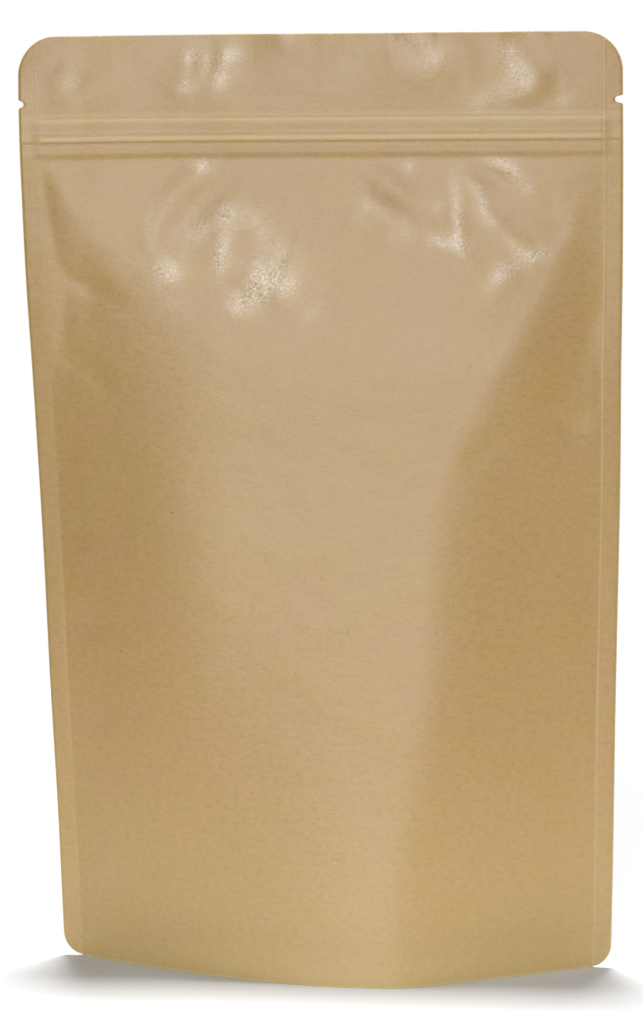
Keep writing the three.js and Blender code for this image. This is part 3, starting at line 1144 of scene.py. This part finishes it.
@dataclass(frozen=True)
class KraftPaper:
    """Unbleached paper face of the laminate, with a faint sheen.

    Its pulp shows as pinkish and yellowish clouds, fine fibres that run across the pouch
    and a few dark specks, and it is rubbed paler along cut edges. It is painted paler too:
    painted highlight on fold crests, partly whitening, and on the closure's edges, partly
    wear, and painted light from the floor towards the foot. Crackled patches are painted
    with a pale sheen and small pale glints as painted highlight, and a fine line runs along
    the inner edge of each side seal. Lengths are in metres, apart from `edge_rub`, which is
    in millimetres off the cut edge.
    """

    name: str = "brown_paper_face"
    pink: tuple[int, int, int] = (180, 143, 93)
    yellow: tuple[int, int, int] = (179, 145, 79)
    fibre: tuple[int, int, int] = (192, 158, 105)
    pulp: tuple[int, int, int] = (157, 125, 75)
    speck: tuple[int, int, int] = (120, 90, 56)
    # Paler colour of worn cut edges, and of painted highlight and painted floor light.
    paler_for_wear_and_light: tuple[int, int, int] = (222, 201, 140)
    # Colour of the painted sheen and painted glints on crackled patches.
    painted_glint_white: tuple[int, int, int] = (226, 230, 226)
    clouds: Texture = Texture((0.02, 0.014), 3.0, 0.5, (0.2, 0.84), relief=0.0004)
    mottle: Texture = Texture((0.0022, 0.0016), 2.0, 0.6, (0.58, 0.28), 0.42, 0.00003)
    grain: Texture = Texture((0.0008, 0.0006), 1.0, 0.5, (0.6, 0.3), 0.3, 0.00003)
    fibres: Texture = Texture((0.0022, 0.0005), 2.0, 0.6, (0.45, 0.75), 0.3, 0.00001)
    # Painted glints: small pale dots in crackled patches.
    painted_glints: Texture = Texture((0.0008, 0.0007), 1.5, 0.6, (0.5, 0.76), 0.55)
    # Share of painted sheen over crackled patches.
    painted_sheen: float = 0.07
    facet: tuple[float, float] = (0.0006, 0.0005)
    facet_relief: float = 0.00006
    speck_cell: tuple[float, float] = (0.009, 0.007)
    speck_size: tuple[float, float] = (0.06, 0.02)
    speck_rarity: tuple[float, float] = (0.72, 0.8)
    speck_share: float = 0.7
    edge_rub: tuple[float, float] = (0.75, 0.3)
    edge_share: float = 0.85
    seal_line: float = 0.0847
    line_rise: float = 0.0006
    line_top: float = 0.0001
    line_fall: float = 0.0005
    line_fade: float = 0.01
    line_on_left: float = 0.25
    line_rub: float = 0.12
    line_relief: float = 0.00005
    roughness: float = 0.45
    crackled_roughness: float = 0.32
    uneven: float = 0.12
    specular: float = 0.72

    def material(self) -> bpy.types.Material:
        """Builds the material.

        Returns:
            The finished material.
        """
        graph = NodeGraph.material(self.name)
        textures = (self.clouds, self.mottle, self.grain, self.fibres)
        noises = [texture.noise(graph) for texture in textures]
        clouds, mottle, grain, fibres = (t.tint(noise) for t, noise in zip(textures, noises))
        crackle_and_glint = graph.attribute(PaperSheet.CRACKLE_AND_GLINT)
        # Painted glints, pale dots in crackled patches.
        painted_glints = self.painted_glints.tint(self.painted_glints.noise(graph))
        line = self._line(graph)
        edge = graph.attribute(PaperSheet.EDGE).band(*self.edge_rub) * self.edge_share
        # Paler tint: real wear at cut edges, the seal line, painted highlight and painted floor
        # light.
        painted_light_and_wear = edge + graph.attribute(PaperSheet.LIGHT_AND_WEAR) + line * self.line_rub
        colour = linear(*self.pink)
        for share, layer in (
            (clouds, self.yellow),
            (mottle, self.pulp),
            (grain, self.pulp),
            (fibres, self.fibre),
            (self._specks(graph), self.speck),
            # Painted highlight and painted floor light, with real wear at the cut edges.
            (painted_light_and_wear, self.paler_for_wear_and_light),
            # Painted sheen and painted glints over crackled patches.
            (crackle_and_glint * (painted_glints + self.painted_sheen), self.painted_glint_white),
        ):
            colour = graph.tint(share, colour, linear(*layer))
        relief = crackle_and_glint * graph.facets(self.facet) * self.facet_relief + line * self.line_relief
        for texture, noise in zip(textures, noises):
            relief = relief + noise * texture.relief
        uneven = (noises[textures.index(self.mottle)] - 0.5) * self.uneven
        polish = crackle_and_glint * (self.roughness - self.crackled_roughness)
        return graph.finish(
            {
                "Base Color": colour,
                "Roughness": self.roughness + uneven - polish,
                "Specular IOR Level": self.specular,
                "Normal": graph.bump(relief),
            }
        )

    def _line(self, graph: NodeGraph) -> Signal:
        """Draws the line along each seal's inner edge, fainter on the left.

        Args:
            graph: The material's nodes.

        Returns:
            How strong the line is.
        """
        place = graph.flat_place("X")
        across = place.size()
        rise = across.band(self.seal_line - self.line_rise, self.seal_line)
        fall = across.band(self.seal_line + self.line_fall, self.seal_line + self.line_top)
        right = place.band(-self.line_fade, self.line_fade)
        return rise * fall * (right * (1.0 - self.line_on_left) + self.line_on_left)

    def _specks(self, graph: NodeGraph) -> Signal:
        """Scatters rare dark specks of bark.

        Args:
            graph: The material's nodes.

        Returns:
            How strong the specks are.
        """
        place = graph.flat_pattern(self.speck_cell)
        cells = graph.node("ShaderNodeTexVoronoi", None, {"Vector": place, "Scale": 1.0})
        near = Signal(graph, cells.outputs["Distance"]).band(*self.speck_size)
        parts = graph.node("ShaderNodeSeparateColor", None, {0: cells.outputs["Color"]})
        chosen = Signal(graph, parts.outputs["Red"]).band(*self.speck_rarity)
        return near * chosen * self.speck_share


@dataclass(frozen=True)
class CutEdge:
    """Pale core of the laminate where it is cut."""

    name: str = "cut_edge_core"
    core: tuple[int, int, int] = (226, 208, 168)
    shade: tuple[int, int, int] = (196, 170, 126)
    blotches: Texture = Texture((0.002, 0.002), 2.0, 0.5, (0.3, 0.75))
    fibre_cell: tuple[float, float] = (0.0003, 0.0003)
    fibre_relief: float = 0.00005
    roughness: float = 0.75
    uneven: float = 0.1

    def material(self) -> bpy.types.Material:
        """Builds the material.

        Returns:
            The finished material.
        """
        graph = NodeGraph.material(self.name)
        blotches = self.blotches.tint(self.blotches.noise(graph))
        fibres = graph.noise(self.fibre_cell, 1.0)
        return graph.finish(
            {
                "Base Color": graph.tint(blotches, linear(*self.core), linear(*self.shade)),
                "Roughness": self.roughness + fibres * self.uneven,
                "Normal": graph.bump(fibres * self.fibre_relief),
            }
        )


# ------------------------------------------------------------------ sheets


class PaperSheet:
    """A sheet of laminate: a flat grid that is formed, given its ply and dressed."""

    UV_NAME = "flat"
    EDGE = "edge_mm"
    # Attribute of painted highlight and painted floor light, partly wear.
    LIGHT_AND_WEAR = "crest"
    # Attribute of crackled patches, which are also painted with glints and sheen.
    CRACKLE_AND_GLINT = "crackle_and_glint"

    def __init__(self, name: str, columns: int, rows: int) -> None:
        """Adds the flat grid.

        Args:
            name: The piece's name.
            columns: Grid lines across.
            rows: Grid lines up.
        """
        bpy.ops.object.select_all(action="DESELECT")
        bpy.ops.mesh.primitive_grid_add(
            x_subdivisions=columns - 1, y_subdivisions=rows - 1, size=2.0, calc_uvs=True
        )
        self.piece = bpy.context.object
        self.piece.name = name
        mesh = self.piece.data
        mesh.name = name
        places = np.empty(len(mesh.vertices) * 3)
        mesh.vertices.foreach_get("co", places)
        places = places.reshape(-1, 3)
        self.column = np.rint((places[:, 0] + 1) / 2 * (columns - 1)).astype(int)
        self.row = np.rint((places[:, 1] + 1) / 2 * (rows - 1)).astype(int)

    def form(self, surface: Surface) -> None:
        """Moves the grid to its formed place and keeps its flat pattern as its UV map.

        Args:
            surface: The sheet's formed face.
        """
        mesh = self.piece.data
        points = surface.points[self.row, self.column] * MM
        mesh.vertices.foreach_set("co", points.ravel())
        corners = np.empty(len(mesh.loops), int)
        mesh.loops.foreach_get("vertex_index", corners)
        flat = surface.flat[self.row, self.column][corners] * MM
        mesh.uv_layers[0].name = self.UV_NAME
        mesh.uv_layers[0].data.foreach_set("uv", flat.ravel())
        for name, values in (
            (self.EDGE, surface.edge),
            (self.LIGHT_AND_WEAR, surface.crest),
            (self.CRACKLE_AND_GLINT, surface.crackle_and_glint),
        ):
            layer = mesh.attributes.new(name, "FLOAT", "POINT")
            layer.data.foreach_set("value", values[self.row, self.column].astype(np.float32))
        mesh.update()

    def turn_outwards(self, outwards: Vector) -> None:
        """Flips the faces if, on the whole, they look the wrong way.

        Args:
            outwards: The way that they should look.
        """
        mesh = self.piece.data
        normals = np.empty(len(mesh.polygons) * 3)
        mesh.polygons.foreach_get("normal", normals)
        if float(normals.reshape(-1, 3).sum(axis=0) @ np.array(outwards)) < 0:
            bpy.ops.object.mode_set(mode="EDIT")
            bpy.ops.mesh.select_all(action="SELECT")
            bpy.ops.mesh.flip_normals()
            bpy.ops.object.mode_set(mode="OBJECT")

    def thicken(self, ply: float) -> None:
        """Gives the sheet its ply on the side away from its face, with its own cut edge.

        Args:
            ply: Thickness of the sheet, in millimetres.
        """
        solid = self.piece.modifiers.new("ply", "SOLIDIFY")
        solid.thickness = ply * MM
        solid.offset = -1.0
        solid.material_offset_rim = 1
        bpy.ops.object.modifier_apply(modifier=solid.name)

    def dress(self, finishes: Sequence[bpy.types.Material]) -> None:
        """Gives the sheet its finishes.

        Args:
            finishes: The paper's face, then its cut edge.
        """
        for finish in finishes:
            self.piece.data.materials.append(finish)
        bpy.ops.object.shade_smooth()

    def fit(self) -> None:
        """Ties the sheet to the pouch's body in place of its solid."""
        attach(self.piece, BODY)
        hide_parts(NODE)


# ------------------------------------------------------------------ sub-assemblies


@dataclass
class PouchPart:
    """One sheet of the pouch, which its own kind gives a form and a way to face."""

    name: str
    form: PouchForm
    sheet: PaperSheet | None = field(default=None, init=False)

    def formed(self) -> tuple[Surface, Vector]:
        """Returns the sheet's formed face and the way that it looks."""
        raise NotImplementedError

    def build(self) -> None:
        """Models the part."""
        surface, outwards = self.formed()
        rows, columns = surface.edge.shape
        self.sheet = PaperSheet(self.name, columns, rows)
        self.sheet.form(surface)
        self.sheet.turn_outwards(outwards)

    def dress(self, finishes: Sequence[bpy.types.Material]) -> None:
        """Gives the part its finishes and its ply, and fits it to the frame.

        Args:
            finishes: The paper's face, then its cut edge.
        """
        self.sheet.dress(finishes)
        self.sheet.thicken(self.form.ply)
        self.sheet.fit()


@dataclass
class Panel(PouchPart):
    """Front or back panel of the pouch."""

    side: Side
    extra: tuple[Stroke, ...]
    fineness: float = 1.0

    def formed(self) -> tuple[Surface, Vector]:
        """Returns the panel's outer face and the way that it looks."""
        surface = PanelForm(self.form, self.side, self.extra).surface(self.columns(), self.rows())
        return surface, Vector((0, self.side.value, 0))

    def columns(self) -> Array:
        """Spaces the columns across the flat pattern, closest near the seals.

        Returns:
            Flat places of the grid's columns.
        """
        half, seal = self.form.flat_width / 2, self.form.panel / 2
        middle = PanelForm.SQUEEZE_FROM
        # Each span is from, to and spacing.
        spans = [
            (0.0, middle, 1.0 * self.fineness),
            (middle, seal - 1.0, 1.1 * self.fineness),
            (seal - 1.0, seal + 1.0, 0.5),
            (seal + 1.0, half, 1.0),
        ]
        right = spread(spans)
        return np.concatenate([-right[:0:-1], right])

    def rows(self) -> Array:
        """Spaces the rows up the panel, closest at the closure, the notches and the mouth.

        Returns:
            Heights of the grid's rows.
        """
        form, fine = self.form, self.fineness
        foot, top = form.foot_radius, form.height
        low, high = form.zip_band.low - 1.0, form.zip_band.high + 1.0
        under, above = form.zip_rib.low - 1.0, form.zip_rib.low + 1.0
        notch, mouth = top - form.notch_below, form.notch_mouth / 2 + 0.1
        # Each span is from, to and spacing.
        spans = [
            (0.0, foot, 1.0 * fine),
            (foot, 120.0, 2.2 * fine),
            (120.0, 175.0, 1.6 * fine),
            (175.0, low, 0.95 * fine),
            (low, under, 0.5),
            (under, above, 0.2),
            (above, high, 0.45),
            (high, notch - mouth, 0.8),
            (notch - mouth, notch + mouth, 0.18),
            (notch + mouth, top - 2.0, 0.9 * fine),
            (top - 2.0, top - 0.3, 0.3),
            (top - 0.3, top, 0.08),
        ]
        return spread(spans)


@dataclass
class Gusset(PouchPart):
    """Base of the pouch: a folded sheet, pressed flat in the middle, up at both ends.

    `skirt` and `fold` are the heights of the seal to the panels in the middle and at the
    ends. The fold lies flat up to `pressed` of the half width and is all up at `risen`.
    """

    skirt: float = 5.0
    fold: float = 40.0
    pressed: float = 0.42
    risen: float = 0.98
    power: float = 3.0
    lift: float = 0.05
    steps_along: int = 120
    steps_up: int = 6
    steps_across: int = 36

    def formed(self) -> tuple[Surface, Vector]:
        """Forms the face that looks down, from the front rim over the fold to the back.

        Returns:
            The face, and the way that it looks.
        """
        columns = np.linspace(-1.0, 1.0, self.steps_along + 1)
        away = np.abs(columns)
        seal = self.skirt + (self.fold - self.skirt) * away**self.power
        crest = self.lift + (self.fold - self.lift) * smooth(self.pressed, self.risen, away)
        up = np.linspace(0.0, 1.0, self.steps_up + 1)
        walls = {side: [self._wall(side, columns, share * seal) for share in up] for side in Side}
        front, back = walls[Side.FRONT][-1], walls[Side.BACK][-1]
        rows: list[Array] = []
        for share in np.linspace(0.0, 1.0, self.steps_across + 1)[1:-1]:
            row = front + (back - front) * share
            bow = np.abs(2 * share - 1) ** self.power
            row[:, 2] = np.maximum(crest + (seal - crest) * bow, self.lift)
            rows.append(row)
        points = np.array([*walls[Side.FRONT], *rows, *walls[Side.BACK][::-1]])
        lines = np.cumsum(np.ones(points.shape[:2]), axis=0)
        plain = np.zeros(points.shape[:2])
        edge = points[..., 2].copy()
        edge[self.steps_up + 1 : -self.steps_up - 1] = self.fold
        flat = np.stack([points[..., 0], lines], axis=-1)
        return Surface(points, flat, plain, plain, edge), Vector((0, 0, -1))

    def _wall(self, side: Side, columns: Array, heights: Array) -> Array:
        """Forms a line of points on the inside of a skirt.

        Args:
            side: The panel.
            columns: Places across it, -1 to 1 between the seals.
            heights: Height of the line at each place.

        Returns:
            The points.
        """
        form = self.form
        levels = FormedLevels(form, heights)
        section = np.array(
            [form.section(side, np.array(t), np.array(z)) for t, z in zip(columns, heights)]
        )
        swell = levels.depth[side] * np.clip(section, 0.0, 1.0)
        x = columns * levels.half
        mid = PanelForm(form, side).mid_plane(x, heights)
        y = form.seal_plane + mid + side.value * np.maximum(swell - form.ply, 0.0)
        return np.stack([x, y, heights], axis=-1)


# ------------------------------------------------------------------ studio


@dataclass(frozen=True)
class Softbox:
    """A rectangular soft light that looks at a point."""

    name: str
    place: tuple[float, float, float]
    target: tuple[float, float, float]
    size: tuple[float, float]
    power: float

    def build(self) -> None:
        """Adds the light."""
        data = bpy.data.lights.new(self.name, "AREA")
        data.shape = "RECTANGLE"
        data.size, data.size_y = self.size
        data.energy = self.power
        lamp = bpy.data.objects.new(self.name, data)
        bpy.context.scene.collection.objects.link(lamp)
        away = Vector(self.target) - Vector(self.place)
        lamp.location = self.place
        lamp.rotation_euler = away.to_track_quat("-Z", "Y").to_euler()


@dataclass(frozen=True)
class PhotoCamera:
    """Camera at the photograph's viewing angle, in millimetres round the seal plane."""

    azimuth: float = 7.827
    height: float = 364.3
    distance: float = 1108.0
    target: tuple[float, float] = (-1.57, 142.06)
    roll: float = 1.127
    focal_pixels: float = 3733.7
    sensor: float = 36.0
    clip: tuple[float, float] = (0.05, 50.0)

    def build(self, seal_plane: float) -> None:
        """Adds the camera and makes it the scene's.

        Args:
            seal_plane: Y of the plane of the side seals, in millimetres.
        """
        turn = math.radians(self.azimuth)
        out, across = -math.cos(turn) * self.distance, math.sin(turn) * self.distance
        place = Vector((across, out, self.height))
        ahead = (Vector((self.target[0], 0.0, self.target[1])) - place).normalized()
        right = ahead.cross(Vector((0, 0, 1))).normalized()
        up = right.cross(ahead)
        roll = math.radians(self.roll)
        right, up = (
            right * math.cos(roll) - up * math.sin(roll),
            right * math.sin(roll) + up * math.cos(roll),
        )
        data = bpy.data.cameras.new("photo_camera")
        data.sensor_width = self.sensor
        data.lens = self.focal_pixels / max(PHOTO_WIDTH, PHOTO_HEIGHT) * self.sensor
        data.clip_start, data.clip_end = self.clip
        camera = bpy.data.objects.new("photo_camera", data)
        bpy.context.scene.collection.objects.link(camera)
        axes = Matrix((right, up, -ahead)).transposed().to_4x4()
        place = (place + Vector((0.0, seal_plane, 0.0))) * MM
        camera.matrix_world = Matrix.Translation(place) @ axes
        bpy.context.scene.camera = camera


@dataclass
class Studio:
    """White table under soft lights, in a room that is white to the eye but dim."""

    table: float = 0.7
    table_white: float = 0.72
    ambient: float = 0.08
    dim_white: tuple[float, float, float, float] = (0.62, 0.82, 1.0, 1.0)
    lights: tuple[Softbox, ...] = (
        Softbox("front_strip", (-0.12, -1.50, 0.33), (0.0, 0.0, 0.14), (0.36, 0.86), 10.25),
        Softbox("small_front_lamp", (-0.22, -1.30, 0.49), (0.0, 0.0, 0.23), (0.1, 0.1), 2.0),
        Softbox("upper_softbox", (0.0, -0.85, 1.1), (0.0, 0.0, 0.15), (0.5, 0.5), 2.6),
        Softbox("high_softbox", (0.0, 1.3, 12.0), (0.0, 0.0, 0.0), (1.8, 1.1), 1500.0),
        Softbox("right_fill", (1.5, -0.2, 0.6), (0.0, 0.0, 0.14), (0.6, 0.6), 6.0),
        Softbox("rear_softbox", (-0.5, 1.5, 0.7), (0.0, 0.0, 0.15), (0.8, 0.8), 9.0),
    )

    def build(self) -> None:
        """Adds the floor, the lights and the surroundings."""
        self._floor()
        self._room()
        for light in self.lights:
            light.build()
        bpy.context.scene.view_settings.view_transform = "Standard"

    def _floor(self) -> None:
        """Adds the floor."""
        bpy.ops.object.select_all(action="DESELECT")
        bpy.ops.mesh.primitive_plane_add(size=self.table)
        floor = bpy.context.object
        floor.name = "floor"
        graph = NodeGraph.material("pale_floor")
        white = (self.table_white, self.table_white, self.table_white, 1.0)
        floor.data.materials.append(graph.finish({"Base Color": white, "Roughness": 0.9}))
        floor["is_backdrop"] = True

    def _room(self) -> None:
        """Adds the room round the table."""
        world = bpy.data.worlds.new("studio")
        graph = NodeGraph(world)
        seen = Signal(graph, graph.node("ShaderNodeLightPath").outputs["Is Camera Ray"])
        strength = seen * (1.0 - self.ambient) + self.ambient
        colour = graph.tint(seen, self.dim_white, (1.0, 1.0, 1.0, 1.0))
        inputs = {"Color": colour, "Strength": strength}
        background = graph.node("ShaderNodeBackground", None, inputs)
        graph.node("ShaderNodeOutputWorld", None, {"Surface": background.outputs[0]})
        bpy.context.scene.world = world


# ------------------------------------------------------------------ assembly


CRUMPLES: dict[Side, Crumple] = {
    Side.FRONT: Crumple((0, 228), (70, 22), 70, 0.13, (1.2, 2.6), (6, 18), 60, 80, 11),
    Side.BACK: Crumple((0, 228), (70, 22), 70, 0.13, (1.2, 2.6), (6, 18), 60, 80, 21),
}


def read_form() -> PouchForm:
    """Reads the pouch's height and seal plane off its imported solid.

    Returns:
        The pouch's form.
    """
    low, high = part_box(NODE)
    front = PouchForm.front_depth + SOLID_SEAL_HALF
    return PouchForm(height=(high.z - low.z) / MM, seal_plane=low.y / MM + front)


def corners() -> list[list[float]]:
    """Returns the lowest and highest corner of what shows, as plain lists."""
    return [list(corner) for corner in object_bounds()]


def main() -> None:
    """Builds the pouch, its finishes and its studio."""
    logging.basicConfig(level=logging.INFO, format="%(name)s: %(message)s")
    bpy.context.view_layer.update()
    form = read_form()
    fineness = 1.0
    finishes = [KraftPaper().material(), CutEdge().material()]
    parts = [
        Panel("front_panel", form, Side.FRONT, tuple(CRUMPLES[Side.FRONT].strokes()), fineness),
        Panel("back_panel", form, Side.BACK, tuple(CRUMPLES[Side.BACK].strokes()), fineness),
        Gusset("base_gusset", form),
    ]
    for part in parts:
        part.build()
        part.dress(finishes)
        LOG.info("%s: %d faces", part.name, len(part.sheet.piece.data.polygons))
    Studio().build()
    PhotoCamera().build(form.seal_plane)


if __name__ == "__main__":
    main()
